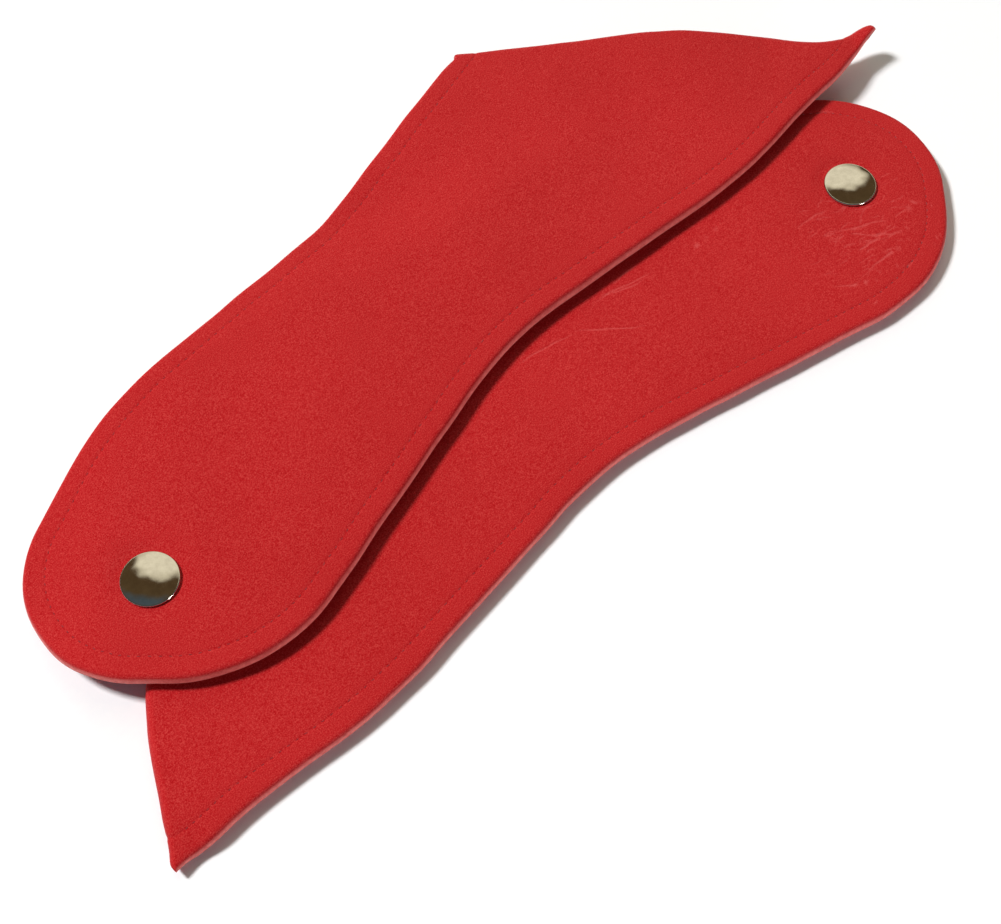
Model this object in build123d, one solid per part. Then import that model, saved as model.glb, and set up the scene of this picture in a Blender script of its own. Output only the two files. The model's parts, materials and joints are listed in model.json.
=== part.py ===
from build123d import *
import os
from math import asin, cos, radians, sin

# A left and right pair of folded groin protectors, stored one over the other.
# Each one is a padded sheet, folded in half and closed by a press stud.
# Row frame: X along the pair, Z up, origin under the centre of the pair's box.

# ---------------------------------------------------------------- driving dimensions (mm)
SKIN = 0.9              # outer leather of a flap
PADDING = 1.1           # foam inside a flap
LINING = 0.5            # inner face of a flap
FLAP = SKIN + PADDING + LINING
GAP = 0.3               # free space between the two flaps, and between the protectors
HEM = 8.0               # width of the turned-in edge round the padding
SEAM_INSET = 6.0        # line of stitches, in from the edge
THREAD_WIDTH = 0.5
THREAD_HEIGHT = 0.28
GROOVE_WIDTH = 0.8      # valley that the stitches pull into the skin
GROOVE_DEPTH = 0.35
HINGE_CLEARANCE = 0.15  # from the fold's axis to the flaps' ends
CROTCH_RADIUS = 6.0     # blunt corner at one end of the fold
TIP_RADIUS = 2.0        # pointed corner at the other end

# One flap's outline, in its own frame: the fold runs up the Y axis, the flap lies
# towards +X. Each corner is x, y and its rounding; the first and last lie past the fold.
OUTLINE = [
    (-30.0, 18.6, 0.0),
    (58.2, -43.3, 53.0),
    (115.6, -101.9, 106.0),
    (188.3, -135.0, 31.0),
    (194.2, -57.1, 46.0),
    (100.7, 6.3, 110.0),
    (49.8, 77.4, 140.0),
    (-30.0, 150.6, 0.0),
]
FOLD_TIP = (2.0, 121.5)         # where the fold meets the pointed corner
UPPER_FOLD_TURN = 0.0           # the fold's turn about that point
LOWER_FOLD_TURN = 7.0           # the lower protector is folded a little askew
STUD_PLACE = (165.8, -86.8)

# Where the protectors lie: the lower is the upper's mirror image, slid along Y.
UPPER_HEADING = -131.0
UPPER_OFFSET = (63.9, 80.0)
LOWER_SLIDE = -42.6

# Press stud, line 24
CAP_RADIUS = 7.5
CAP_RISE = 2.1
RIM = 0.7               # height of the cap's rolled rim
BARREL_RADIUS = 1.5
SOCKET_RADIUS = 5.2
STUD_FLANGE_RADIUS = 4.9
STUD_HEAD_RADIUS = 1.98
POST_RADIUS = 4.7
SPRING_RADIUS = 2.52
SPRING_WIRE = 0.25
RECESS_CLEARANCE = 0.1

STACK = 2 * FLAP + GAP          # one folded protector
REACH = 400.0                   # larger than any outline
AXIS_LENGTH = 100.0             # of the printed fold axes


# ---------------------------------------------------------------- flat shapes
def fold_side(turn):
    """Everything on the flap's side of the fold line."""
    half_plane = Pos(REACH / 2, 0) * Rectangle(REACH, 2 * REACH)
    return Pos(*FOLD_TIP) * Rot(0, 0, -turn) * half_plane


def flap_face(inset, turn):
    """The flap's outline, drawn in by inset on its stitched sides."""
    points = [(x, y) for x, y, _ in OUTLINE]
    rounding = [radius for _, _, radius in OUTLINE]
    face = make_face(FilletPolyline(*points, radius=rounding, close=True))
    if inset > 0:
        face = offset(face, amount=-inset, kind=Kind.INTERSECTION)
    return face & fold_side(turn)


def cover_face(turn):
    """The full outline, with both ends of the fold rounded."""
    face = flap_face(0, turn)
    near_fold = face.vertices().sort_by(Axis.X)[0:2].sort_by(Axis.Y)
    face = fillet(near_fold[0], CROTCH_RADIUS)
    near_fold = face.vertices().sort_by(Axis.Y)[-1]
    return fillet(near_fold, TIP_RADIUS)


def band(inset, width, turn):
    """A strip of one width that follows the stitched sides."""
    return flap_face(inset - width / 2, turn) - flap_face(inset + width / 2, turn)


def slab(face, low, high):
    return Pos(0, 0, low) * extrude(face, high - low)


def round_at_stud(radius, low, high):
    """A round plug or hole at the press stud's place."""
    return Pos(STUD_PLACE[0], STUD_PLACE[1], low) * Cylinder(
        radius, high - low, align=(Align.CENTER, Align.CENTER, Align.MIN)
    )


def turned(profile, arc=360.0):
    """A piece of revolution at the press stud's place; the profile is radius by height."""
    section = Plane.XZ * make_face(profile)
    return Pos(STUD_PLACE[0], STUD_PLACE[1], 0) * revolve(section, Axis.Z, arc)


# ---------------------------------------------------------------- soft layers of one flap
# The heights are for a flap that lies face down: the skin's outer face is at zero.
def make_cover(turn, stud_holes):
    cover = slab(cover_face(turn), 0, FLAP)
    cover -= slab(flap_face(HEM, turn), SKIN, FLAP)
    cover -= slab(band(SEAM_INSET, GROOVE_WIDTH, turn), 0, GROOVE_DEPTH)
    for hole in stud_holes:
        cover -= hole
    return cover


def make_padding(turn, hole):
    return slab(flap_face(HEM, turn), SKIN, SKIN + PADDING) - hole


def make_lining(turn, hole):
    return slab(flap_face(HEM, turn), SKIN + PADDING, FLAP) - hole


def make_seam(turn):
    bottom = GROOVE_DEPTH - THREAD_HEIGHT
    return slab(band(SEAM_INSET, THREAD_WIDTH, turn), bottom, GROOVE_DEPTH)


# ---------------------------------------------------------------- press stud
# The cap and socket belong to the front flap, and the stud and post to the back one.
# Their heights are from the outer face of their own flap, inwards.
SOCKET_WEB = 0.3        # web under which the cap's barrel is clinched
FLARE = 0.2             # thickness of the clinched end
FLARE_RADIUS = 2.1
CAVITY_RADIUS = 2.2     # mouth of the socket
MOUTH = FLAP - 0.1      # height of the socket's mouth
LIP = 0.3               # from the mouth to the spring's groove
WIRE_PLAY = 0.02        # round the spring in its groove
SPRING_ARC = 325        # the wire ring is split
BORE_RADIUS = BARREL_RADIUS - 0.2
NECK_RADIUS = 1.75
NECK_FOOT_RADIUS = 2.3
NECK_TOP = FLAP + 0.25
HEAD_TOP = FLAP + GAP + 0.85
HEAD_WALL = 0.35        # over the bore
HEAD_EDGE = 0.3         # slope at the top and bottom of the head
FLANGE_EDGE = 0.2
FOOT_DROP = 0.05        # of the neck's foot, below the flap's inner face
POST_FLANGE = 0.4
POST_PIN_RADIUS = BORE_RADIUS - 0.05
POST_TOP = HEAD_TOP - 0.4


def make_cap():
    """Domed cap with a rolled rim, whose barrel is clinched under the socket's web."""
    web_under = SKIN + SOCKET_WEB
    rim_top = Vector(CAP_RADIUS - RIM / 2, -RIM)
    dome_height = CAP_RISE - RIM
    dome_radius = (rim_top.X ** 2 + dome_height ** 2) / (2 * dome_height)
    half_angle = asin(rim_top.X / dome_radius) / 2
    halfway = Vector(
        dome_radius * sin(half_angle), -CAP_RISE + dome_radius * (1 - cos(half_angle))
    )
    under = Polyline(
        (0, -CAP_RISE), (0, web_under + FLARE), (FLARE_RADIUS, web_under + FLARE),
        (FLARE_RADIUS, web_under), (BARREL_RADIUS, web_under), (BARREL_RADIUS, 0),
        (CAP_RADIUS - RIM / 2, 0),
    )
    rim = ThreePointArc((CAP_RADIUS - RIM / 2, 0), (CAP_RADIUS, -RIM / 2), rim_top)
    dome = ThreePointArc(rim_top, halfway, (0, -CAP_RISE))
    return turned(under + rim + dome)


def make_socket():
    """Ring that fills the recess in the front flap, open towards the stud."""
    web_under = SKIN + SOCKET_WEB
    groove_low = MOUTH - LIP
    groove_high = groove_low - 2 * (SPRING_WIRE + WIRE_PLAY)
    groove_radius = SPRING_RADIUS + SPRING_WIRE + WIRE_PLAY
    return turned(Polyline(
        (BARREL_RADIUS, SKIN), (SOCKET_RADIUS, SKIN), (SOCKET_RADIUS, groove_low),
        (SOCKET_RADIUS - LIP, MOUTH), (CAVITY_RADIUS, MOUTH), (CAVITY_RADIUS, groove_low),
        (groove_radius, groove_low), (groove_radius, groove_high), (FLARE_RADIUS, groove_high),
        (FLARE_RADIUS, web_under), (BARREL_RADIUS, web_under), (BARREL_RADIUS, SKIN),
    ))


def make_spring():
    """Split wire ring that grips the stud's head."""
    height = MOUTH - LIP - SPRING_WIRE - WIRE_PLAY
    section = Plane.XZ * (Pos(SPRING_RADIUS, height) * Circle(SPRING_WIRE))
    return Pos(STUD_PLACE[0], STUD_PLACE[1], 0) * revolve(section, Axis.Z, SPRING_ARC)


def make_stud():
    """Flanged stud: neck, bulged head, and a bore from below for the post."""
    return turned(Polyline(
        (BORE_RADIUS, SKIN), (STUD_FLANGE_RADIUS, SKIN),
        (STUD_FLANGE_RADIUS, FLAP - FLANGE_EDGE), (NECK_FOOT_RADIUS, FLAP - FOOT_DROP),
        (NECK_RADIUS, NECK_TOP), (STUD_HEAD_RADIUS, NECK_TOP + HEAD_EDGE),
        (STUD_HEAD_RADIUS, HEAD_TOP - HEAD_EDGE), (STUD_HEAD_RADIUS - HEAD_EDGE, HEAD_TOP),
        (0, HEAD_TOP), (0, HEAD_TOP - HEAD_WALL), (BORE_RADIUS, HEAD_TOP - HEAD_WALL),
        (BORE_RADIUS, SKIN),
    ))


def make_post():
    """Flat-headed post that comes through the back flap from outside."""
    return turned(Polyline(
        (0, 0), (POST_RADIUS - FLANGE_EDGE, 0), (POST_RADIUS, FLANGE_EDGE),
        (POST_RADIUS, POST_FLANGE), (POST_PIN_RADIUS, POST_FLANGE),
        (POST_PIN_RADIUS, POST_TOP), (0, POST_TOP), (0, 0),
    ))


# ---------------------------------------------------------------- one protector
def make_protector(turn):
    """Every piece of one folded protector, in the flap's own frame, resting on Z = 0."""
    recess = round_at_stud(SOCKET_RADIUS + RECESS_CLEARANCE, SKIN, FLAP)
    barrel_hole = round_at_stud(BARREL_RADIUS + RECESS_CLEARANCE, 0, SKIN)
    post_recess = round_at_stud(POST_RADIUS + RECESS_CLEARANCE, 0, POST_FLANGE)
    back = {
        "back_cover": make_cover(turn, [barrel_hole, post_recess]),
        "back_padding": make_padding(turn, recess),
        "back_lining": make_lining(turn, recess),
        "back_seam": make_seam(turn),
        "snap_stud": make_stud(),
        "snap_post": make_post(),
    }
    front = {
        "front_cover": make_cover(turn, [barrel_hole]),
        "front_padding": make_padding(turn, recess),
        "front_lining": make_lining(turn, recess),
        "front_seam": make_seam(turn),
        "snap_cap": make_cap(),
        "snap_socket": make_socket(),
        "snap_spring": make_spring(),
    }
    turned_over = {name: mirror(piece, Plane.XY) for name, piece in front.items()}
    raised = {name: Pos(0, 0, STACK) * piece for name, piece in turned_over.items()}
    return back | raised


def fold_axis(turn):
    """A line on the fold's axis, from the pointed corner."""
    away = Vector(cos(radians(turn)), -sin(radians(turn)), 0)
    along = Vector(-sin(radians(turn)), -cos(radians(turn)), 0)
    tip = Vector(*FOLD_TIP, STACK / 2) - away * HINGE_CLEARANCE
    return Edge.make_line(tip, tip + along * AXIS_LENGTH)


# ---------------------------------------------------------------- the pair
def place_upper(piece):
    return Pos(*UPPER_OFFSET, STACK + GAP) * Rot(0, 0, UPPER_HEADING) * piece


def place_lower(piece):
    as_upper = Pos(*UPPER_OFFSET, 0) * Rot(0, 0, UPPER_HEADING) * piece
    return Pos(0, LOWER_SLIDE, 0) * mirror(as_upper, Plane.YZ)


def report_axis(name, place, turn, shift):
    """Print the fold's axis in the row frame, for the joint's record."""
    axis = Pos(*shift) * place(fold_axis(turn))
    print(name, "fold axis from", axis @ 0, "to", axis @ 1)


def main():
    pair = {}
    for name, piece in make_protector(UPPER_FOLD_TURN).items():
        pair["upper_" + name] = place_upper(piece)
    for name, piece in make_protector(LOWER_FOLD_TURN).items():
        pair["lower_" + name] = place_lower(piece)

    solids = [Solid(solid.wrapped) for piece in pair.values() for solid in piece.solids()]
    box = Compound(children=solids).bounding_box()
    shift = Vector(-box.center().X, -box.center().Y, 0)
    os.makedirs("parts", exist_ok=True)
    for name, piece in pair.items():
        export_step(Pos(*shift) * piece, f"parts/{name}.step")

    print("box", box.size, "shift", shift)
    report_axis("upper", place_upper, UPPER_FOLD_TURN, shift)
    report_axis("lower", place_lower, LOWER_FOLD_TURN, shift)


main()
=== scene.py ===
"""A folded pair of padded leather protectors with press studs, one lying over the other.

Each protector is built in its own fold coordinates, in millimetres: p is the distance away
from the fold's axis, q is the distance along it from the pointed corner, and a height is
measured from the protector's mid plane, where its two flaps meet.
"""

import json
from math import cos, pi, radians, sin, tan

import bmesh
import bpy
import numpy as np
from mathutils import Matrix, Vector, noise
from mathutils.geometry import delaunay_2d_cdt


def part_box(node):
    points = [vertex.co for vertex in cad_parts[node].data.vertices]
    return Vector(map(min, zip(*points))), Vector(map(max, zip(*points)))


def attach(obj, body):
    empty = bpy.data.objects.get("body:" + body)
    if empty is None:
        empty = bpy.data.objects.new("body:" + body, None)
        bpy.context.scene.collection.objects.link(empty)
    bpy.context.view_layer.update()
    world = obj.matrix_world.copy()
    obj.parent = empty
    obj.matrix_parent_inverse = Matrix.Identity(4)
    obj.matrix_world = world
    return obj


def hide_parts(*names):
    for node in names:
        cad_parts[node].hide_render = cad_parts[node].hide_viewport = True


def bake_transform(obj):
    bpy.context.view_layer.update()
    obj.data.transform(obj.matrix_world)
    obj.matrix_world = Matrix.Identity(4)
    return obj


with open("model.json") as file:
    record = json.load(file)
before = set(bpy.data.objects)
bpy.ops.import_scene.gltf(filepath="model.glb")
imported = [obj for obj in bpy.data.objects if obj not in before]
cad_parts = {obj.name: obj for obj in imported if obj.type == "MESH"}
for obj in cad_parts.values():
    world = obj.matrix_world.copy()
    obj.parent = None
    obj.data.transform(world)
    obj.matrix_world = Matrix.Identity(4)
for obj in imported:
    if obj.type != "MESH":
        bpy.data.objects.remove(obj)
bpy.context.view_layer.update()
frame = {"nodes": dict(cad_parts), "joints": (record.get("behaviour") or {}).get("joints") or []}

MM = 0.001

# ---------------------------------------------------------------- the pattern, as in the part
SKIN = 0.9                      # outer leather of a flap
FLAP = 2.5                      # leather, padding and lining together
GAP = 0.3                       # free space between the two flaps
HEM = 8.0                       # width of the turned-in edge
SEAM_INSET = 6.0                # line of stitches, in from the edge
HINGE_CLEARANCE = 0.15          # from the fold's axis to the flaps' ends
FOLD_TIP = (2.0, 121.5)         # where the fold meets the pointed corner
FOLD_TURN = {"upper": 0.0, "lower": radians(7.0)}   # the lower one is folded askew
STUD_PLACE = (165.8, -86.8)
SOCKET_RECESS = 5.3             # radius of the clearing round the socket
POST_RECESS = 4.8               # and round the post's foot
OUTLINE = [                     # each corner is x, y and its rounding
    (-30.0, 18.6, 0.0),
    (58.2, -43.3, 53.0),
    (115.6, -101.9, 106.0),
    (188.3, -135.0, 31.0),
    (194.2, -57.1, 46.0),
    (100.7, 6.3, 110.0),
    (49.8, 77.4, 140.0),
    (-30.0, 150.6, 0.0),
]

INNER = GAP / 2                 # height of a flap's inner face
OUTER = INNER + FLAP            # height of its outer face
EDGE_THIN = 1.0                 # a flap is thinner by this at its pressed edge
EDGE_WIDTH = 1.8                # width of that edge
PRESS_REACH = 6.0               # nearer to the fold than this, pressed leather lies higher
ROLL = (FLAP - EDGE_THIN) / 2   # radius of the rolled edge
BACK_DRAWN_IN = 0.8             # the back flap's edge lies inside the front's
TIP_THIN = 0.9                  # thinner by this again at the pointed corner
TIP_DRAW = {"upper": 1.8, "lower": -0.9}    # that corner is drawn out, or in
TIP_REACH = 14.0                # both fade out at this distance from the corner
TIP_POINT = {"upper": 0.6, "lower": 0.9}    # its last bit is drawn out again
POINT_REACH = 5.0
CROTCH_BLUNT = 1.2              # the fold's other corner is drawn in
CROTCH_REACH = 7.0
END_GROWTH = {"upper": 0.0, "lower": 1.2}   # the lower one's rounded end is longer
END_START = 7.0                 # it grows from this far beyond the stud
END_REACH = 15.0                # and fully so after this distance more
UNEVEN_EDGE = 0.25              # the outline wanders by this
UNEVEN_SIZE = 13.0              # over about this distance
UNEVEN_SEEDS = 2.0, 8.0
STUD_CLEAR = 9.0                # nothing shifts the skin nearer to the stud than this
STUD_FADE = 10.0

# ---------------------------------------------------------------- mesh sizes
EDGE_STEP = 1.2                 # along the outline
SKIN_STEP = 1.5                 # between points of the padded middle
FINE_STEP = 0.42                # where the skin is creased
INSIDE_STEP = 4.0               # between points of the inner faces
ROLL_STEPS = 6                  # round the rolled edge
NOSE_STEPS = 24                 # round the fold
WALL_STEPS = 4                  # inside the fold, between the two flaps
STEEP = 0.1                     # width of a step in a face, such as a clearing's wall
ROW_SPACING = 0.866             # between rows of triangles, as a share of their side
EDGE_CLEAR = 0.6                # points keep this share of their spacing from an edge
CIRCLE_CLEAR = 0.6              # and at most this far from a circle
CIRCLE_STEPS = 48
KEEP_INSIDE = 1                 # the triangulation's output: what is inside the edges
SAME_POINT = 1e-6
TINY = 1e-9                     # a normal shorter than this has no direction
SAME_DIGITS = 4                 # vertices whose places agree this far share a normal
FOLD_POINTS = 80                # along the fold, where an outline is closed
BATCH = 2000                    # points whose distances are found at once

# ---------------------------------------------------------------- soft shape (mm)
VALLEY_DEPTH = 0.12             # where the stitches pull the skin down
VALLEY_WIDTH = 0.42
PUCKER = 0.05                   # and deeper by this at the end of each stitch
PUCKER_WIDTH = 0.9
PUFF = 0.2                      # the padding lifts the skin inside the stitches
PUFF_WIDTH = 5.0
DIMPLE_DEPTH = 0.22             # round the press stud
DIMPLE_WIDTH = 2.2
DIMPLE_RADIUS = 8.3
LUMPS = [(0.16, 22.0), (0.07, 7.0)]     # height and size of the padding's unevenness
LUMPS_INSET = 6.5               # they start here and are full after the next distance
LUMPS_FADE = 6.0
LUMPS_STUD_FADE = 8.0
LUMPS_SEED = {"upper": 3.0, "lower": 11.0}
LUMPS_SEED_STEP = 5
POST_SINK = 0.45                # the post's foot lies this deep in the skin
LINING_SINK = 0.55              # the lining lies in a bed this deep
DROOP = 2.5                     # the unsupported end of the upper protector sinks by this
DROOP_START = 13.0              # from this far beyond the lower protector
DROOP_REACH = 26.0              # and fully so after this distance more
DROOP_FROM_FOLD = 12.0          # nearer to its own fold it doesn't sink
DROOP_FADE = 50.0
NOSE_END = 0.35                 # the fold's two ends bulge by this
BORDER_MARGIN = 0.02            # keeps the fold's borders whole when it opens
NO_PALE_EDGE_INSET = 3.0                    # an inset at which the skin shows no paler edge, neither its painted highlight nor its wear
UP = {"front": 1, "back": -1}   # the side of the mid plane that a flap lies on

STITCH_PITCH = 2.7
STITCH_LENGTH = 1.9
STITCH_SLANT = 0.12             # every other stitch leans the other way
THREAD_RADIUS = 0.19
THREAD_PROFILE = [0.35, 0.8, 1, 1, 1, 0.8, 0.35]    # thickness along a stitch
THREAD_SIDES = 8
THREAD_SUNK = 0.35 * THREAD_RADIUS      # into the outer face
THREAD_DIVE = 0.3               # and deeper by this at both ends
INSIDE_RAISED = 0.4 * THREAD_RADIUS     # above the hem's inner face
INSIDE_DIVE = 0.2
STITCH_CLEAR = 0.3              # no stitch comes nearer to the fold's axis than this

# How far each fold stands out from its straight axis: along the fold, then outwards.
FOLD_SWELL = {
    "upper": [(0, 3.6), (3, 2.2), (7, -0.8), (10, -2.5), (14.5, -3.1), (23, -2.1), (32, 0.1),
              (45, 2.4), (56, 3.7), (68, 3.7), (85, 2.2), (104, 0.8), (119, 0.0)],
    "lower": [(0, -3.4), (3, -3.7), (9, -3.1), (21.5, -0.2), (33, 2.2), (44, 3.5),
              (60, 2.4), (80, 0.6), (119, 0.0)],
}
SWELL_BLUR = 4.0                # the list is smoothed over this distance either way
SWELL_SAMPLES = 9
SWELL_RISE = {"upper": 0.8, "lower": 0.0}       # share of a swell that lifts the top
SWELL_REACH = {"upper": 0.576, "lower": 1.0}    # share of a swell that goes outwards
RISE_FADE = 36.0                # how far from the fold each of these is felt
REACH_FADE = 30.0


# ---------------------------------------------------------------- small helpers
def ease(t):
    t = np.clip(t, 0, 1)
    return t * t * (3 - 2 * t)


def bell(away, width):
    return np.exp(-(away / width) ** 2)


def distance(points, place):
    """How far level points are from a place."""
    return np.hypot(*(points - place).T)


def distance_to_line(points, line):
    """How far level points are from the nearest point of a line."""
    parts = np.array_split(points, max(1, len(points) // BATCH))
    near = [np.hypot(*(part[:, None] - line).transpose(2, 0, 1)).min(1) for part in parts]
    return np.concatenate(near)


def circle(steps):
    """Directions all the way round."""
    angles = np.linspace(0, 2 * pi, steps + 1)[:-1]
    return np.stack([np.cos(angles), np.sin(angles)], 1)


def rough(points, size, seed):
    """Smooth noise from -1 to 1 at level points, with lumps of about that size."""
    return np.array([noise.noise(Vector((x / size, y / size, seed))) for x, y in points])


def from_fold(point, turn):
    """A point of the pattern as p and q."""
    east, north = np.subtract(point, FOLD_TIP)
    away = east * cos(turn) - north * sin(turn) + HINGE_CLEARANCE
    along = -east * sin(turn) - north * cos(turn)
    return np.array([away, along])


# ---------------------------------------------------------------- one side's outline and place
class Protector:
    """Where one protector lies, and its stitched outline in fold coordinates."""

    def __init__(self, side):
        self.side = side
        joint = next(j for j in frame["joints"] if j["name"] == f"{side}_fold")
        self.corner = np.array(joint["pos_m"]) / MM
        low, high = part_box(f"{side}_snap_cap")
        cap = np.array((low + high) / 2) / MM - self.corner
        axis = np.array(joint["axis"])
        self.along = axis * np.sign(axis @ cap)
        level = np.cross(self.along, (0, 0, 1))
        self.away = level * np.sign(level @ cap)
        self.mirrored = np.cross(self.away, self.along)[2] < 0
        self.stud = from_fold(STUD_PLACE, FOLD_TURN[side])
        self.trace_outline()

    def trace_outline(self):
        """Points round the outline between the fold's two ends, and the directions inwards."""
        turn = FOLD_TURN[self.side]
        corners = [from_fold((x, y), turn) for x, y, _ in OUTLINE]
        edges = [b - a for a, b in zip(corners, corners[1:])]
        heading = [e / np.hypot(*e) for e in edges]
        points, inwards = [], []
        for corner, before, after, (_, _, radius) in zip(
            corners[1:], heading, heading[1:], OUTLINE[1:]
        ):
            bend = np.arctan2(before[0] * after[1] - before[1] * after[0], before @ after)
            reach = radius * tan(abs(bend) / 2)
            inward = np.array([before[1], -before[0]])
            convex = 1 if bend < 0 else -1
            centre = corner - before * reach + inward * radius * convex
            first = np.arctan2(inward[1], inward[0])
            steps = max(2, round(radius * abs(bend) / EDGE_STEP))
            angles = first + np.linspace(0, bend, steps + 1)
            normals = np.stack([np.cos(angles), np.sin(angles)], 1)
            arc = centre - normals * radius * convex
            if points:
                gap = np.hypot(*(arc[0] - points[-1][-1]))
                share = np.linspace(0, 1, max(2, round(gap / EDGE_STEP)) + 1)[1:-1, None]
                points.append(points[-1][-1] * (1 - share) + arc[0] * share)
                inwards.append(np.repeat(normals[:1], len(share), 0))
            points.append(arc)
            inwards.append(normals)
        self.points = np.vstack(points)
        self.inwards = np.vstack(inwards)
        self.heading = heading[0], heading[-1]
        self.ends = [
            max(2, round(abs((place[0] - HINGE_CLEARANCE) / direction[0]) / EDGE_STEP))
            for place, direction in zip((self.points[0], self.points[-1]), self.heading)
        ]
        self.crotch, self.tip = self.ring(0.0)[[0, -1]]
        steps = np.hypot(*np.diff(self.ring(0.0), axis=0).T)
        self.travel = np.concatenate([[0], np.cumsum(steps)])

    def ring(self, inset):
        """The outline drawn in by inset, from one end of the fold to the other."""
        middle = self.points + inset * self.inwards
        ends = []
        for place, direction, steps in zip((middle[0], middle[-1]), self.heading, self.ends):
            crossing = place + direction * (HINGE_CLEARANCE - place[0]) / direction[0]
            share = np.linspace(0, 1, steps + 1)[:-1, None]
            ends.append(crossing * (1 - share) + place * share)
        return np.vstack([ends[0], middle, ends[1][::-1]])

    def to_row(self, flat, height):
        """Fold coordinates and a height above the mid plane, as a point of the row frame."""
        flat = np.atleast_2d(flat)
        place = self.corner + np.outer(flat[:, 0], self.away) + np.outer(flat[:, 1], self.along)
        place[:, 2] += height
        return place

    # ---- how the skin lies
    def swell(self, q):
        """How far the fold stands out at q."""
        places, amounts = np.array(FOLD_SWELL[self.side]).T
        window = np.linspace(-SWELL_BLUR, SWELL_BLUR, SWELL_SAMPLES)
        weights = np.hanning(len(window) + 2)[1:-1]
        total = sum(w * np.interp(q + x, places, amounts) for x, w in zip(window, weights))
        return total / weights.sum()

    def lift(self, flat):
        """How far the front flap is raised by the swell of the fold."""
        swell = np.maximum(self.swell(flat[:, 1]), 0) * SWELL_RISE[self.side]
        return swell * (1 - ease(flat[:, 0] / RISE_FADE))

    def shifted(self, flat, held):
        """Level points, moved with the fold where it stands out or is drawn in. Held is 1
        on inner faces, which stay on their own side of the fold's axis."""
        swell = self.swell(flat[:, 1])
        reach = np.where(swell > 0, swell * SWELL_REACH[self.side] * (1 - held), swell)
        point = np.clip(1 - distance(flat, self.tip) / POINT_REACH, 0, 1) ** 2
        blunt = np.clip(1 - distance(flat, self.crotch) / CROTCH_REACH, 0, 1) ** 2
        beyond_stud = flat[:, 0] - self.stud[0] - END_START
        moved = flat.copy()
        moved[:, 0] -= reach * (1 - ease(flat[:, 0] / REACH_FADE))
        moved[:, 0] += END_GROWTH[self.side] * ease(beyond_stud / END_REACH)
        moved[:, 1] -= TIP_DRAW[self.side] * self.near_tip(flat) + TIP_POINT[self.side] * point
        moved[:, 1] -= CROTCH_BLUNT * blunt
        wander = np.stack([rough(flat, UNEVEN_SIZE, seed) for seed in UNEVEN_SEEDS], 1)
        return moved + UNEVEN_EDGE * self.off_stud(flat)[:, None] * wander

    def near_tip(self, flat):
        """From 0 to 1 at the fold's pointed corner."""
        return 1 - ease(distance(flat, self.tip) / TIP_REACH)

    def off_stud(self, flat):
        """From 0 at the press stud to 1 away from it."""
        return ease((distance(flat, self.stud) - STUD_CLEAR) / STUD_FADE)

    def edge_faces(self, flat, inset, flap):
        """Heights of a flap's outer and inner face where nothing puffs or pulls it. The
        thin edges lie low, but close to the fold the two flaps stay mirror images."""
        near = np.clip(1 - inset / EDGE_WIDTH, 0, 1)
        thinner = EDGE_THIN * (1 - np.sqrt(1 - near ** 2)) + TIP_THIN * self.near_tip(flat)
        half = (FLAP - thinner) / 2
        round_edge = np.sqrt(1 - np.clip(1 - inset / ROLL, 0, 1) ** 2)
        middle = INNER + half
        lowered = thinner * ease(flat[:, 0] / PRESS_REACH)
        if flap == "front":
            return middle - lowered + half * round_edge, middle - lowered - half * round_edge
        return -middle - lowered - half * round_edge, -middle - lowered + half * round_edge

    def relief(self, flat, inset, travel):
        """How far the outer face stands out or is pulled in, by stitches, padding and stud."""
        pull = 0.5 + 0.5 * np.cos(2 * pi * travel / self.pitch())
        relief = -VALLEY_DEPTH * bell(inset - SEAM_INSET, VALLEY_WIDTH)
        relief -= PUCKER * pull * bell(inset - SEAM_INSET, PUCKER_WIDTH)
        inside = np.clip(inset - SEAM_INSET, 0, None)
        relief += PUFF * (1 - np.exp(-inside / PUFF_WIDTH)) * self.off_stud(flat)
        dimple = distance(flat, self.stud) - DIMPLE_RADIUS
        return relief - DIMPLE_DEPTH * bell(dimple, DIMPLE_WIDTH)

    def uneven(self, flat, inset, seed):
        """Small rises and hollows of the padding under the skin."""
        share = ease((inset - LUMPS_INSET) / LUMPS_FADE)
        share = share * ease((distance(flat, self.stud) - STUD_CLEAR) / LUMPS_STUD_FADE)
        return share * sum(
            height * rough(flat, size, seed + LUMPS_SEED_STEP * k)
            for k, (height, size) in enumerate(LUMPS)
        )

    def pitch(self):
        """Length of one stitch and its gap, so that a whole number fits the seam."""
        return self.travel[-1] / round(self.travel[-1] / STITCH_PITCH)


protectors = {side: Protector(side) for side in ("lower", "upper")}


def inside_loop(points, loop):
    """Which level points are inside a closed loop, by the edges that lie beyond each."""
    ahead = np.roll(loop, -1, 0)
    inside = np.zeros(len(points), bool)
    for (x0, y0), (x1, y1) in zip(loop, ahead):
        if y0 == y1:
            continue
        crosses = (points[:, 1] > y0) != (points[:, 1] > y1)
        at = x0 + (points[:, 1] - y0) * (x1 - x0) / (y1 - y0)
        inside ^= crosses & (points[:, 0] < at)
    return inside


def whole_edge(protector):
    """The outline of a protector in the row frame, closed along its fold."""
    ring = protector.ring(0.0)
    share = np.linspace(0, 1, FOLD_POINTS)[1:-1, None]
    loop = np.vstack([ring, ring[-1] * (1 - share) + ring[0] * share])
    return protector.to_row(loop, 0)[:, :2]


lower_edge = whole_edge(protectors["lower"])


def droop(side, place, flat):
    """How far a point of the upper protector sinks where nothing is under it."""
    if side == "lower":
        return np.zeros(len(place))
    level = place[:, :2]
    over = inside_loop(level, lower_edge)
    outside = np.where(over, 0, distance_to_line(level, lower_edge))
    away_from_fold = ease((flat[:, 0] - DROOP_FROM_FOLD) / DROOP_FADE)
    return DROOP * ease((outside - DROOP_START) / DROOP_REACH) * away_from_fold


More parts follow.
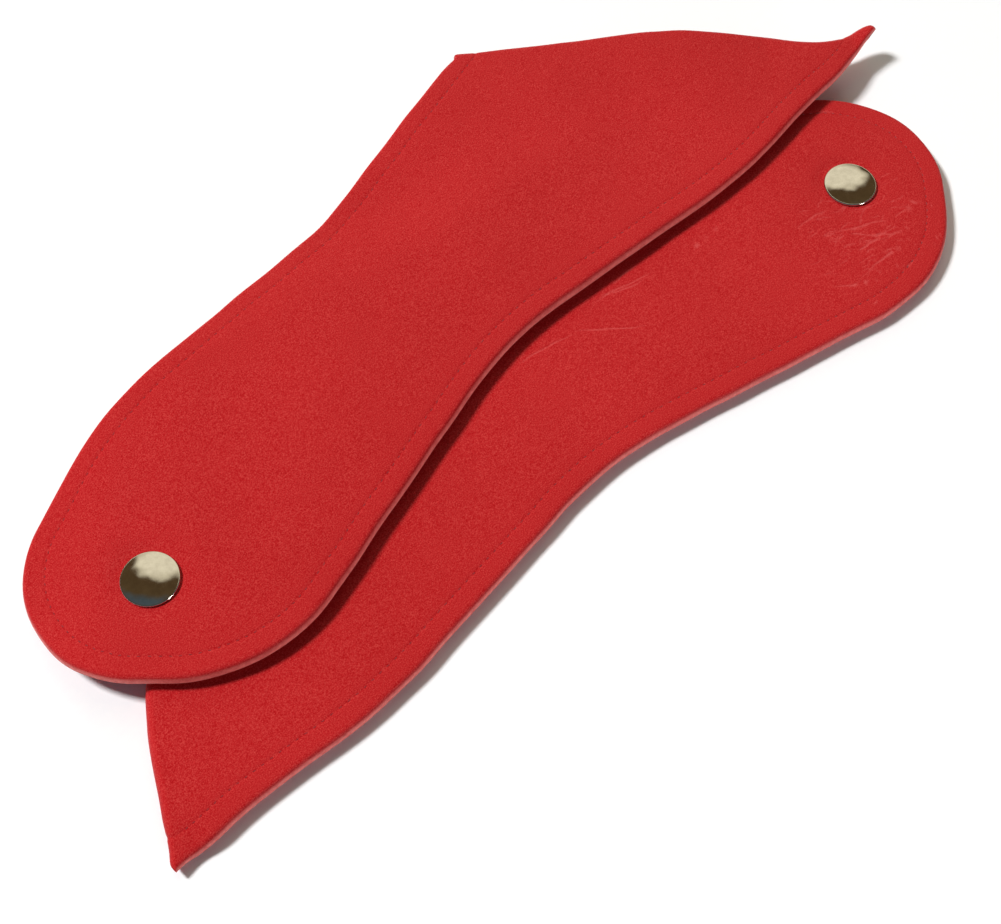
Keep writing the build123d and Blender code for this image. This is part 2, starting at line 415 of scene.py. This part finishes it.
# ---------------------------------------------------------------- level meshes
def hex_points(low, high, spacing):
    """Level points on a triangular grid."""
    rows = np.arange(low[1], high[1], spacing * ROW_SPACING)
    return np.array([
        (x, y)
        for row, y in enumerate(rows)
        for x in np.arange(low[0] + spacing / 2 * (row % 2), high[0], spacing)
    ])


def level_mesh(protector, insets, spacing, circles=(), drawn_in=0.0, fine=()):
    """A flap as rings drawn in from the outline, with triangles inside them. Circles are
    radii round the stud. Fine zones are (place, radius), where the points are closer."""
    rings = [protector.ring(inset + drawn_in) for inset in insets]
    count = len(rings[0])
    points = np.vstack(rings)
    inset = np.repeat(insets, count)
    travel = np.tile(protector.travel, len(rings))
    faces = [
        (a, a + 1, a + 1 + count, a + count)
        for start in range(0, (len(rings) - 1) * count, count)
        for a in range(start, start + count - 1)
    ]
    crotch, tip = rings[-1][0], rings[-1][-1]
    full = protector.ring(insets[-1])    # the same for both flaps, so that their folds match
    steps = max(2, round(abs(full[0][1] - full[-1][1]) / spacing))
    share = np.linspace(0, 1, steps + 1)[1:-1, None]
    fold_points = tip * (1 - share) + crotch * share
    loop = np.vstack([rings[-1], fold_points])

    grid = hex_points(loop.min(0), loop.max(0), spacing)
    for centre, radius in fine:
        closer = hex_points(centre - radius, centre + radius, FINE_STEP)
        closer = closer[distance(closer, centre) < radius]
        grid = grid[distance(grid, centre) > radius + FINE_STEP]
        grid = np.vstack([grid, closer])
    grid = grid[inside_loop(grid, loop)]
    grid = grid[distance_to_line(grid, loop) > EDGE_CLEAR * spacing]
    for radius in circles:
        from_circle = np.abs(distance(grid, protector.stud) - radius)
        grid = grid[from_circle > min(0.5 * spacing, CIRCLE_CLEAR)]
    discs = [protector.stud + circle(CIRCLE_STEPS) * radius for radius in circles]
    inner = np.vstack([fold_points, grid, *discs])

    first_inner = len(points)
    after_fold = first_inner + len(fold_points)
    fold_numbers = list(range(first_inner, after_fold))
    boundary = list(range(first_inner - count, first_inner)) + fold_numbers
    numbers = boundary + list(range(after_fold, first_inner + len(inner)))
    everything = np.vstack([points, inner])
    edges = [(k, (k + 1) % len(boundary)) for k in range(len(boundary))]
    _, _, triangles, origin, _, _ = delaunay_2d_cdt(
        [Vector(everything[n]) for n in numbers], edges, [], KEEP_INSIDE, SAME_POINT
    )
    faces += [tuple(numbers[origin[v][0]] for v in triangle) for triangle in triangles]
    from_edge = distance_to_line(inner, protector.ring(0.0))
    inset = np.concatenate([inset, from_edge - drawn_in])
    travel = np.concatenate([travel, np.zeros(len(inner))])

    corners = everything.tolist()
    faces = [face if signed_area(face, corners) > 0 else face[::-1] for face in faces]
    tip_side = [r * count + count - 1 for r in range(len(rings))]
    crotch_side = [r * count for r in reversed(range(len(rings)))]
    return {
        "points": everything, "inset": inset, "travel": travel, "faces": faces,
        "fold_line": tip_side + fold_numbers + crotch_side, "edge": list(range(count)),
    }


def signed_area(face, corners):
    """Area of a level face, above zero where its corners run anticlockwise."""
    ahead = face[1:] + face[:1]
    return sum(
        corners[a][0] * corners[b][1] - corners[b][0] * corners[a][1]
        for a, b in zip(face, ahead)
    ) / 2


# Insets of the rings: closest on the rolled edge and in the valley of the stitches.
ROLL_INSETS = [ROLL * (1 - cos(pi / 2 * k / ROLL_STEPS)) for k in range(ROLL_STEPS + 1)]
SKIN_INSETS = ROLL_INSETS + [
    0.9, 1.3, 1.9, 2.7, 3.5, 4.2, 4.8, 5.2, 5.5, 5.75, 6.0, 6.25, 6.5, 6.8, 7.3, 8.2, 9.4, 10.8
]
INSIDE_INSETS = ROLL_INSETS + [1.2, EDGE_WIDTH, 3.0, HEM - STEEP, HEM, 10.0]
LINING_INSETS = [HEM + 0.15, HEM + 0.4, HEM + 2.0]
LINING_CIRCLES = [SOCKET_RECESS - 0.3, SOCKET_RECESS + 0.2]     # its opening lies between
LINING_HEIGHTS = 0.02, 0.37     # of its two faces, above the flap's inner face
LINING_BEND = 0.2               # how far its bend reaches past the fold's axis


def zip_lines(first, second, places):
    """Triangles between two lines of vertices that run the same way along q."""
    faces, a, b = [], 0, 0
    while a < len(first) - 1 or b < len(second) - 1:
        step_first = b == len(second) - 1 or (
            a < len(first) - 1 and places[first[a + 1]] <= places[second[b + 1]]
        )
        if step_first:
            faces.append((first[a], first[a + 1], second[b]))
            a += 1
        else:
            faces.append((first[a], second[b + 1], second[b]))
            b += 1
    return [f for f in faces if len(set(f)) == 3]


# ---------------------------------------------------------------- creases in the skin
# Long creases of the lower protector's front, from point to point of the pattern.
LONG_CREASES = [
    ((94, -41), (110, -53)), ((96, -43), (108, -50)), ((99, -48), (106, -55)),
    ((75, -20), (89, -31)), ((89, -31), (109, -35)), ((120, -59), (129, -71)),
    ((150, -70), (159, -78)), ((161, -70), (176, -75)), ((165, -69), (180, -71)),
    ((178, -76), (185, -85)), ((167, -64), (173, -68)), ((170, -57), (179, -67)),
    ((160, -51), (175, -55)), ((161, -100), (165, -107)), ((156, -113), (162, -114)),
]
CREASE_DEPTH = 0.15
CREASE_WIDTH = 0.22
WANDERS = [(0.3, 5, 0), (0.12, 13, 1)]  # a crease's waves: size, turns, start's axis
SHORT_CREASES = 140             # in the worn place beside the lower stud
SHORT_SEED = 7
SHORT_HEADING = radians(-35)
HEADING_SPREAD = 0.3
SHORT_LENGTH = 2.0, 7.0
SHORT_SHARE = 0.2, 0.75         # of the long creases' depth
WORN_PLACE = (170, -67)
WORN_SIZE = 11
FINE_ZONES = {"upper": [], "lower": [((168, -70), 26), ((101, -46), 15), ((90, -30), 17)]}


def crease_lines():
    """Every crease as a start, an end and a depth."""
    chance = np.random.default_rng(SHORT_SEED)
    lines = [(np.array(a, float), np.array(b, float), CREASE_DEPTH) for a, b in LONG_CREASES]
    for _ in range(SHORT_CREASES):
        start = WORN_PLACE + chance.normal(0, WORN_SIZE, 2)
        heading = SHORT_HEADING + chance.normal(0, HEADING_SPREAD)
        length = chance.uniform(*SHORT_LENGTH)
        end = start + length * np.array([cos(heading), sin(heading)])
        lines.append((start, end, CREASE_DEPTH * chance.uniform(*SHORT_SHARE)))
    return lines


def crease_depth(protector, flat):
    """How deep the creases are at level points."""
    depth = np.zeros(len(flat))
    if protector.side == "upper":
        return depth
    turn = FOLD_TURN["lower"]
    for start, end, deep in crease_lines():
        place = from_fold(start, turn)
        line = from_fold(end, turn) - place
        length = np.hypot(*line)
        along = (flat - place) @ line / length ** 2
        across = ((flat - place) @ np.array([-line[1], line[0]])) / length
        wander = sum(size * np.sin(along * turns + start[k]) for size, turns, k in WANDERS)
        share = np.clip(1 - (2 * along - 1) ** 2, 0, 1)
        depth += deep * share ** 0.5 * bell(across - wander, CREASE_WIDTH)
    return depth


# ---------------------------------------------------------------- meshes of one protector
def flap_skin(protector, sheet, inside, flap):
    """Closed cover of one flap: outer face, rolled edge and turned-in hem."""
    up = UP[flap]
    seed = LUMPS_SEED[protector.side] + up
    points, inset, travel = sheet["points"], sheet["inset"], sheet["travel"]
    outer, _ = protector.edge_faces(points, inset, flap)
    relief = protector.relief(points, inset, travel) + protector.uneven(points, inset, seed)
    creased = np.zeros(len(points))
    if flap == "front":
        creased = crease_depth(protector, points)
        relief -= creased
    else:
        relief = np.minimum(relief, 0)    # it lies on the floor
        relief[distance(points, protector.stud) < POST_RECESS + STEEP / 2] = -POST_SINK
    outer = outer + up * relief
    _, inner = protector.edge_faces(inside["points"], inside["inset"], flap)
    inner = np.where(inside["inset"] > HEM - STEEP / 2, up * (INNER + LINING_SINK), inner)
    at_socket = distance(inside["points"], protector.stud) < SOCKET_RECESS + STEEP / 2
    inner = np.where(at_socket, up * (OUTER - SKIN), inner)

    count = len(points)
    shared = len(inside["edge"])
    flat = np.vstack([points, inside["points"][shared:]])
    height = np.concatenate([outer, inner[shared:]])
    held = np.concatenate([np.zeros(count), ease(inside["inset"][shared:] / HEM)])
    if flap == "front":
        height += protector.lift(flat) * (1 - held)
    renumber = list(range(shared)) + list(range(count, len(flat)))
    inner_faces = [tuple(renumber[v] for v in face)[::-1] for face in inside["faces"]]
    skin = list(sheet["faces"]) + inner_faces
    outer_line = sheet["fold_line"]
    inner_line = [renumber[v] for v in inside["fold_line"]]
    wall = zip_lines(outer_line, inner_line, flat[:, 1])
    if flap == "back":
        skin = [face[::-1] for face in skin]
        wall = [face[::-1] for face in wall]
    return {
        "flat": flat, "height": height, "skin": skin, "wall": wall, "held": held,
        "fold_line": outer_line,
        "inset": np.concatenate([inset, inside["inset"][shared:]]),
        "crease": np.concatenate([creased / CREASE_DEPTH, np.zeros(len(flat) - count)]),
    }


def fold_nose(front, back):
    """The rounded back of the fold, from the front flap's outer face to the back flap's.
    Its border is where its front ends and its back begins, in heights at the fold."""
    line = front["fold_line"]
    top, bottom = front["height"][line], back["height"][back["fold_line"]]
    front_q, back_q = front["flat"][line, 1], back["flat"][back["fold_line"], 1]
    depth = np.minimum((top - bottom) / 2, OUTER)
    flat, height = [], []
    for angle in np.linspace(pi / 2, -pi / 2, NOSE_STEPS + 1):
        share = (1 - sin(angle)) / 2
        q = front_q * (1 - share) + back_q * share
        flat.append(np.stack([HINGE_CLEARANCE - depth * cos(angle), q], 1))
        height.append(top * (1 - share) + bottom * share)
    for share in np.linspace(1, 0, WALL_STEPS + 2)[1:-1]:
        q = front_q * (1 - share) + back_q * share
        flat.append(np.stack([np.full(len(q), HINGE_CLEARANCE), q], 1))
        height.append(top * (1 - share) + bottom * share)
    count, around = len(line), len(flat)
    skin, wall = [], []
    for a in range(around):
        ahead = (a + 1) % around
        target = skin if a < NOSE_STEPS else wall
        target += [
            (a * count + j, a * count + j + 1, ahead * count + j + 1, ahead * count + j)
            for j in range(count - 1)
        ]
    flat, height = np.vstack(flat), np.concatenate(height)
    held_inside = np.tile(ease(front["inset"][line] / HEM), WALL_STEPS)
    held = np.concatenate([np.zeros((NOSE_STEPS + 1) * count), held_inside])
    for j, outwards in ((0, -NOSE_END), (count - 1, NOSE_END)):
        rim = [a * count + j for a in range(around)]
        centre = len(flat)
        flat = np.vstack([flat, flat[rim].mean(0) + (0, outwards)])
        height = np.append(height, height[rim].mean())
        held = np.append(held, 0)
        fan = [(rim[a], rim[(a + 1) % around], centre) for a in range(around)]
        skin += fan if j == 0 else [face[::-1] for face in fan]
    return {
        "flat": flat, "height": height, "skin": skin, "wall": wall, "held": held,
        "inset": np.full(len(flat), NO_PALE_EDGE_INSET), "crease": np.zeros(len(flat)),
        "border": (bottom.max() + BORDER_MARGIN, top.min() - BORDER_MARGIN),
    }


def lining_parts(protector):
    """The woven lining: a cloth in each flap, open at the stud, and its bend at the fold."""
    sheet = level_mesh(protector, LINING_INSETS, INSIDE_STEP, LINING_CIRCLES)
    flat, line = sheet["points"], sheet["fold_line"]
    from_stud = distance(flat, protector.stud)
    faces = [f for f in sheet["faces"] if max(from_stud[v] for v in f) > SOCKET_RECESS]
    corners = flat.tolist()
    area = sum(signed_area(face, corners) for face in faces)
    used = sorted({v for face in faces for v in face})
    renumber = {v: k for k, v in enumerate(used)}
    faces = [tuple(renumber[v] for v in face) for face in faces]
    count = len(used)
    sides = {(a, b) for face in faces for a, b in zip(face, face[1:] + face[:1])}
    closed = faces + [tuple(v + count for v in reversed(face)) for face in faces]
    closed += [(b, a, a + count, b + count) for a, b in sorted(sides) if (b, a) not in sides]
    near, far = (INNER + height for height in LINING_HEIGHTS)
    parts = {
        flap: {
            "flat": np.vstack([flat[used]] * 2), "height": up * np.repeat([far, near], count),
            "skin": closed, "wall": [], "held": 1, "area": area, "size": np.ptp(flat, axis=0),
        }
        for flap, up in UP.items()
    }

    loop = [(HINGE_CLEARANCE, far), (HINGE_CLEARANCE, near), (0, 0),
            (HINGE_CLEARANCE, -near), (HINGE_CLEARANCE, -far), (-LINING_BEND, 0)]
    across, along = len(loop), len(line)
    bend = [tuple(k * along + j for k in range(across)) for j in (0, along - 1)]
    for k in range(across):
        row, ahead = k * along, (k + 1) % across * along
        bend += [(row + j, row + j + 1, ahead + j + 1, ahead + j) for j in range(along - 1)]
    parts["bend"] = {
        "flat": np.vstack([np.stack([np.full(along, p), flat[line, 1]], 1) for p, _ in loop]),
        "height": np.repeat([height for _, height in loop], along),
        "skin": bend, "wall": [], "held": 1,
    }
    return parts


def finished(protector, part):
    """The part, with its vertices in the row frame and its faces turned outwards."""
    moved = protector.shifted(part["flat"], part["held"])
    place = protector.to_row(moved, part["height"])
    place[:, 2] -= droop(protector.side, place, part["flat"])
    faces = part["skin"] + part["wall"]
    if protector.mirrored:
        faces = [face[::-1] for face in faces]
        part["skin"] = [face[::-1] for face in part["skin"]]
    part["place"], part["faces"] = place, faces
    return part


def shared_normals(parts):
    """Vertex normals of the outer skin, the same on both sides of a border of two parts."""
    places = np.vstack([part["place"] for part in parts])
    total = np.zeros_like(places)
    starts = np.cumsum([0] + [len(part["place"]) for part in parts])
    for part, start in zip(parts, starts):
        for size in (3, 4):
            faces = np.array([f for f in part["skin"] if len(f) == size], int)
            if not len(faces):
                continue
            corners = part["place"][faces]
            normal = np.cross(corners[:, 1] - corners[:, 0], corners[:, 2] - corners[:, 0])
            if size == 4:
                normal += np.cross(corners[:, 2] - corners[:, 0], corners[:, 3] - corners[:, 0])
            for k in range(size):
                np.add.at(total, start + faces[:, k], normal)
    _, same = np.unique(np.round(places, SAME_DIGITS), axis=0, return_inverse=True)
    same = same.ravel()
    summed = np.zeros((same.max() + 1, 3))
    np.add.at(summed, same, total)
    normals = summed[same]
    length = np.linalg.norm(normals, axis=1, keepdims=True)
    normals = np.where(length > TINY, normals / np.maximum(length, TINY), (0, 0, 1))
    for part, start in zip(parts, starts):
        part["normals"] = normals[start:start + len(part["place"])]


def new_object(name, data):
    made = bpy.data.objects.new(name, data)
    bpy.context.scene.collection.objects.link(made)
    return made


def new_piece(name, part, material):
    """A mesh object of a finished part."""
    mesh = bpy.data.meshes.new(name)
    mesh.from_pydata((part["place"] * MM).tolist(), [], part["faces"])
    mesh.validate()
    mesh.shade_smooth()
    mesh.materials.append(material)
    return new_object(name, mesh)


def recalculate_normals(piece):
    """Turn the faces of a closed piece outwards."""
    mesh = bmesh.new()
    mesh.from_mesh(piece.data)
    bmesh.ops.recalc_face_normals(mesh, faces=mesh.faces)
    mesh.to_mesh(piece.data)
    mesh.free()


def skin_piece(title, part, material):
    """A piece of leather, with what its material needs to know of each vertex."""
    piece = new_piece(title, part, material)
    piece.data.normals_split_custom_set_from_vertices(part["normals"].tolist())
    for name in ("inset", "crease"):
        values = piece.data.attributes.new(name, "FLOAT", "POINT")
        values.data.foreach_set("value", part[name].astype(np.float32))
    return piece


# ---------------------------------------------------------------- stitches
def stitch_row(protector, flap, material):
    """Separate stitches in the valley of the outer face, and behind them on the hem."""
    up = UP[flap]
    ring = protector.ring(SEAM_INSET + (BACK_DRAWN_IN if flap == "back" else 0))
    pitch = protector.pitch()
    number = round(protector.travel[-1] / pitch)
    centres = (np.arange(number) + 0.5) * pitch
    sections = len(THREAD_PROFILE)
    along = np.linspace(-0.5, 0.5, sections)
    dive = np.abs(2 * along) ** 3       # 1 at both ends of a stitch
    level = np.full(sections, SEAM_INSET)
    across = circle(THREAD_SIDES)
    places, faces = [], []
    for inner_side in (False, True):
        for k, centre in enumerate(centres):
            stations = centre + along * STITCH_LENGTH
            path = np.stack([np.interp(stations, protector.travel, ring[:, j]) for j in (0, 1)], 1)
            if path[:, 0].min() < HINGE_CLEARANCE + STITCH_CLEAR:
                continue
            direction = path[-1] - path[0]
            direction /= np.hypot(*direction)
            side = np.array([direction[1], -direction[0]])
            slant = STITCH_SLANT if k % 2 else -STITCH_SLANT
            path += np.outer(along * 2 * slant, side)
            outer, inner = protector.edge_faces(path, level, flap)
            if inner_side:
                height = inner - up * INSIDE_RAISED + up * INSIDE_DIVE * dive
            else:
                relief = protector.relief(path, level, np.full(sections, centre + pitch / 2))
                height = outer + up * (relief - THREAD_SUNK - THREAD_DIVE * dive)
            if flap == "front" and not inner_side:
                height = height + protector.lift(path)
            start = len(places)
            for place, z, share in zip(path, height, THREAD_PROFILE):
                radius = share * THREAD_RADIUS
                places += [(*(place + side * radius * x), z + radius * y) for x, y in across]
            faces += tube_faces(start, sections)
    places = np.array(places)
    part = {"flat": places[:, :2], "height": places[:, 2], "skin": faces, "wall": [], "held": 0}
    return new_piece(f"{protector.side}_{flap}_stitches", finished(protector, part), material)


def tube_faces(start, sections):
    """Faces of one closed stitch, whose vertices begin at start."""
    rows = [[start + row * THREAD_SIDES + k for k in range(THREAD_SIDES)] for row in range(sections)]
    faces = [tuple(rows[0]), tuple(reversed(rows[-1]))]
    for row, ahead in zip(rows, rows[1:]):
        for k in range(THREAD_SIDES):
            beside = (k + 1) % THREAD_SIDES
            faces.append((row[k], row[beside], ahead[beside], ahead[k]))
    return faces


# ---------------------------------------------------------------- materials
class Nodes:
    """Short calls that add nodes to a material or a world."""

    def __init__(self, owner):
        owner.use_nodes = True
        self.tree = owner.node_tree

    def feed(self, socket, value):
        """Link another node to a socket, or set the socket's own value."""
        if isinstance(value, bpy.types.NodeSocket):
            self.tree.links.new(value, socket)
        else:
            socket.default_value = value

    def add(self, kind, inputs, **settings):
        """Add a node with these settings and inputs."""
        node = self.tree.nodes.new(kind)
        for name, value in settings.items():
            setattr(node, name, value)
        for name, value in inputs.items():
            self.feed(node.inputs[name], value)
        return node

    def noise(self, place, scale, detail=3.0, roughness=0.5):
        inputs = {"Vector": place, "Scale": scale, "Detail": detail, "Roughness": roughness}
        return self.add("ShaderNodeTexNoise", inputs).outputs["Fac"]

    def ramp(self, value, *stops):
        """Colours by value. Each stop is a position and a colour."""
        node = self.add("ShaderNodeValToRGB", {"Fac": value})
        elements = node.color_ramp.elements
        while len(elements) < len(stops):
            elements.new(0.5)
        for element, (position, colour) in zip(elements, stops):
            element.position = position
            element.color = (*colour, 1)
        return node.outputs["Color"]

    def mix(self, share, first, second, blend="MIX"):
        node = self.add("ShaderNodeMix", {}, data_type="RGBA", blend_type=blend)
        self.feed(node.inputs["Factor"], share)
        self.feed(node.inputs[MIX_FIRST], first)
        self.feed(node.inputs[MIX_SECOND], second)
        return node.outputs[MIX_RESULT]

    def range(self, value, low, high, to_low, to_high):
        inputs = {"From Min": low, "From Max": high, "To Min": to_low, "To Max": to_high}
        return self.add("ShaderNodeMapRange", {"Value": value, **inputs}).outputs["Result"]

    def product(self, first, second):
        node = self.add("ShaderNodeMath", {0: first, 1: second}, operation="MULTIPLY")
        return node.outputs[0]

    def bump(self, height, strength, depth, normal=None):
        """A normal bent by a height. The depth is in millimetres."""
        inputs = {"Strength": strength, "Distance": depth * MM, "Height": height}
        if normal is not None:
            inputs["Normal"] = normal
        return self.add("ShaderNodeBump", inputs).outputs["Normal"]

    def attribute(self, name):
        return self.add("ShaderNodeAttribute", {}, attribute_name=name).outputs["Fac"]


MIX_FIRST, MIX_SECOND, MIX_RESULT = 6, 7, 2     # the colour sockets of a mix node


class Look(Nodes):
    """A new material with one shader. Its textures are placed in millimetres."""

    def __init__(self, name):
        self.material = bpy.data.materials.new(name)
        super().__init__(self.material)
        place = self.add("ShaderNodeTexCoord", {}).outputs["Object"]
        scaled = self.add("ShaderNodeVectorMath", {0: place, "Scale": 1 / MM}, operation="SCALE")
        self.place = scaled.outputs[0]

    def shader(self, inputs):
        """Finish the material with these inputs of its shader."""
        for name, value in inputs.items():
            self.feed(self.tree.nodes["Principled BSDF"].inputs[name], value)
        return self.material


def leather_material():
    """Coated red leather: fine cell grain, soft mottling, and paler edges and creases that are
    painted highlights together with wear.
    """
    look = Look("red_leather")
    broad = look.noise(look.place, 0.018, 2.0)
    red = look.ramp(broad, (0.3, (0.460, 0.0165, 0.0185)), (0.7, (0.505, 0.0190, 0.0215)))
    fine = look.noise(look.place, 3.2, 1.0, 0.6)
    mottling = look.ramp(
        fine, (0.30, (0.78, 0.25, 0.35)), (0.5, (0.96, 1.0, 1.0)), (0.72, (1.15, 2.6, 2.1))
    )
    colour = look.mix(1.0, red, mottling, "MULTIPLY")

    patches = look.noise(look.place, 0.7, 4.0, 0.7)
    # Paler colour along the rolled edge, broken up by patches: a painted highlight of the edge,
    # together with wear.
    edge_highlight_and_wear = look.range(look.attribute("inset"), 0.1, 0.5, 1.2, 0.0)
    colour = look.mix(look.product(edge_highlight_and_wear, patches), colour, (0.88, 0.26, 0.23, 1))
    # Paler colour along the creases, broken up by patches: painted highlights on the crease lines,
    # together with rubbed wear.
    crease_highlight_and_rub = look.range(look.attribute("crease"), 0.12, 0.8, 0.0, 0.55)
    colour = look.mix(look.product(crease_highlight_and_rub, patches), colour, (0.80, 0.16, 0.15, 1))

    cells = look.add(
        "ShaderNodeTexVoronoi", {"Vector": look.place, "Scale": 1.05}, feature="DISTANCE_TO_EDGE"
    )
    grain = look.range(cells.outputs["Distance"], 0.0, 0.22, 0.0, 1.0)
    pores = look.noise(look.place, 3.0, 3.0, 0.65)
    return look.shader({
        "Base Color": colour,
        "Normal": look.bump(pores, 0.5, 0.14, look.bump(grain, 0.22, 0.12)),
        "Roughness": look.range(fine, 0.3, 0.7, 0.38, 0.52),
        "Specular IOR Level": 0.07,
    })


def thread_material():
    """Twisted thread, darker than the leather."""
    look = Look("thread")
    strands = look.add(
        "ShaderNodeTexWave", {"Vector": look.place, "Scale": 1.3, "Distortion": 1.2},
        bands_direction="DIAGONAL",
    ).outputs["Fac"]
    return look.shader({
        "Base Color": look.ramp(strands, (0.2, (0.16, 0.004, 0.008)), (0.8, (0.36, 0.010, 0.018))),
        "Normal": look.bump(strands, 0.5, 0.1),
        "Roughness": 0.6,
        "Sheen Weight": 0.3,
    })


def lining_material():
    """Plain woven backing: threads over and under, with slubs."""
    look = Look("lining")
    inputs = {"Vector": look.place, "Scale": 0.62, "Distortion": 0.5, "Detail": 1.0}
    warp, weft = (
        look.add("ShaderNodeTexWave", inputs, bands_direction=direction).outputs["Fac"]
        for direction in ("X", "Y")
    )
    weave = look.product(warp, weft)
    maroon = look.ramp(weave, (0.0, (0.09, 0.004, 0.006)), (0.6, (0.24, 0.012, 0.018)))
    slubs = look.noise(look.place, 0.5, 3.0)
    tint = look.ramp(slubs, (0.3, (0.75, 0.75, 0.75)), (0.7, (1.0, 1.0, 1.0)))
    return look.shader({
        "Base Color": look.mix(1.0, maroon, tint, "MULTIPLY"),
        "Normal": look.bump(weave, 0.6, 0.15),
        "Roughness": 0.85,
        "Sheen Weight": 0.25,
    })


def metal_material(name, dark, light, roughness, scratch_scale):
    """Plated metal with faint tarnish, fine scratches and a slightly uneven surface."""
    look = Look(name)
    tarnish = look.noise(look.place, 0.5, 4.0, 0.6)
    dents = look.noise(look.place, 0.22, 1.0)
    scratches = look.noise(look.place, scratch_scale, 5.0, 0.7)
    return look.shader({
        "Base Color": look.ramp(tarnish, (0.3, dark), (0.7, light)),
        "Normal": look.bump(scratches, 0.08, 0.05, look.bump(dents, 0.25, 0.5)),
        "Roughness": look.range(tarnish, 0.3, 0.8, roughness, roughness + 0.05),
        "Metallic": 1.0,
    })


def floor_material():
    """Pale matt paper."""
    look = Look("floor")
    fibres = look.noise(look.place, 0.4, 5.0, 0.6)
    return look.shader({
        "Base Color": look.ramp(fibres, (0.3, (0.94, 0.95, 0.97)), (0.7, (0.97, 0.975, 0.985))),
        "Roughness": 0.7,
        "Specular IOR Level": 0.2,
    })


# ---------------------------------------------------------------- build both protectors
leather = leather_material()
thread = thread_material()
lining = lining_material()
nickel = metal_material("nickel", (0.60, 0.56, 0.50), (0.74, 0.70, 0.63), 0.07, 6.0)
steel = metal_material("spring_wire", (0.42, 0.42, 0.42), (0.62, 0.61, 0.60), 0.25, 9.0)

for side, protector in protectors.items():
    zones = [(from_fold(place, FOLD_TURN[side]), size) for place, size in FINE_ZONES[side]]
    flaps = {}
    for flap, drawn_in, fine in (("front", 0.0, zones), ("back", BACK_DRAWN_IN, ())):
        post = [POST_RECESS, POST_RECESS + STEEP]
        socket = [SOCKET_RECESS, SOCKET_RECESS + STEEP]
        sheet = level_mesh(protector, SKIN_INSETS, SKIN_STEP, post, drawn_in, fine)
        inside = level_mesh(protector, INSIDE_INSETS, INSIDE_STEP, socket, drawn_in)
        flaps[flap] = flap_skin(protector, sheet, inside, flap)
    nose = fold_nose(flaps["front"], flaps["back"])
    parts = [finished(protector, part) for part in (flaps["front"], flaps["back"], nose)]
    shared_normals(parts)
    for flap in UP:
        piece = skin_piece(f"{side}_{flap}_leather", flaps[flap], leather)
        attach(piece, f"{side}_{flap}")
        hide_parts(f"{side}_{flap}_cover", f"{side}_{flap}_padding")
        stitches = stitch_row(protector, flap, thread)
        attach(stitches, f"{side}_{flap}")
        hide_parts(f"{side}_{flap}_seam")
    fold_piece = skin_piece(f"{side}_fold_leather", nose, leather)
    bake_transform(fold_piece)

    for name, part in lining_parts(protector).items():
        cloth = new_piece(f"{side}_{name}_cloth", finished(protector, part), lining)
        recalculate_normals(cloth)
        if name == "bend":
            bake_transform(cloth)
            continue
        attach(cloth, f"{side}_{name}")
        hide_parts(f"{side}_{name}_lining")

for name, node in frame["nodes"].items():
    if "snap" in name:
        node.data.materials.clear()
        node.data.materials.append(steel if "spring" in name else nickel)

# ---------------------------------------------------------------- camera, floor and light
TARGET = Vector((-0.02174, -0.02868, 0.0))
CAMERA_DISTANCE = 0.4215
CAMERA_HEADING = radians(45)        # looks towards +X and +Y alike
CAMERA_ELEVATION = radians(61.6)
LENS = 57.54
SENSOR_WIDTH = 36

camera_data = bpy.data.cameras.new("camera")
camera_data.lens = LENS
camera_data.sensor_width = SENSOR_WIDTH
camera_data.clip_start = 0.01
camera = new_object("camera", camera_data)
back_to_camera = Vector((
    -cos(CAMERA_ELEVATION) * cos(CAMERA_HEADING),
    -cos(CAMERA_ELEVATION) * sin(CAMERA_HEADING),
    sin(CAMERA_ELEVATION),
))
camera.location = TARGET + back_to_camera * CAMERA_DISTANCE
camera.rotation_euler = (-back_to_camera).to_track_quat("-Z", "Y").to_euler()
bpy.context.scene.camera = camera

FLOOR_SIZE = 6.0
floor_mesh = bpy.data.meshes.new("floor")
half = FLOOR_SIZE / 2
floor_mesh.from_pydata([(-half, -half, 0), (half, -half, 0), (half, half, 0), (-half, half, 0)],
                       [], [(0, 1, 2, 3)])
floor_mesh.materials.append(floor_material())
floor = new_object("floor", floor_mesh)


def soft_light(name, place, size, power):
    """A square light turned towards the origin, with its size in metres."""
    data = bpy.data.lights.new(name, "AREA")
    data.size = size
    data.energy = power
    light = new_object(name, data)
    light.location = place
    light.rotation_euler = (-Vector(place)).to_track_quat("-Z", "Y").to_euler()
    return light


key = soft_light("key", (-1.0, 1.55, 2.45), 0.5, 101.0)
key.visible_glossy = False      # the caps show the room, without a bright spot
soft_light("edge", (0.1, -0.9, 0.11), 0.25, 2.9)

# The room, as the caps reflect it: pale beyond the pair, brown overhead, dim behind the
# camera, with a wavy border.
BEYOND = (0.55, 0.55, 0.63)
PALE, PALER = (0.80, 0.74, 0.56), (0.98, 0.92, 0.72)
BROWN, DARK_BROWN = (0.10, 0.065, 0.030), (0.09, 0.055, 0.025)
DIM = (0.07, 0.10, 0.12)

world = bpy.data.worlds.new("studio")
bpy.context.scene.world = world
room = Nodes(world)
direction = room.add("ShaderNodeTexCoord", {}).outputs["Generated"]
beyond = room.add("ShaderNodeVectorMath", {0: direction, 1: BEYOND}, operation="DOT_PRODUCT")
waves = room.noise(direction, 2.6, 1.5)
wavy = room.add(
    "ShaderNodeMath", {0: waves, 1: 0.16, 2: beyond.outputs["Value"]}, operation="MULTIPLY_ADD"
)
colour = room.ramp(
    wavy.outputs[0], (0.0, DIM), (0.45, DIM), (0.62, BROWN), (0.90, DARK_BROWN),
    (0.96, PALE), (1.0, PALER),
)
background = world.node_tree.nodes["Background"]
room.feed(background.inputs["Color"], colour)
room.feed(background.inputs["Strength"], 1.0)
bpy.context.scene.view_settings.view_transform = "Standard"
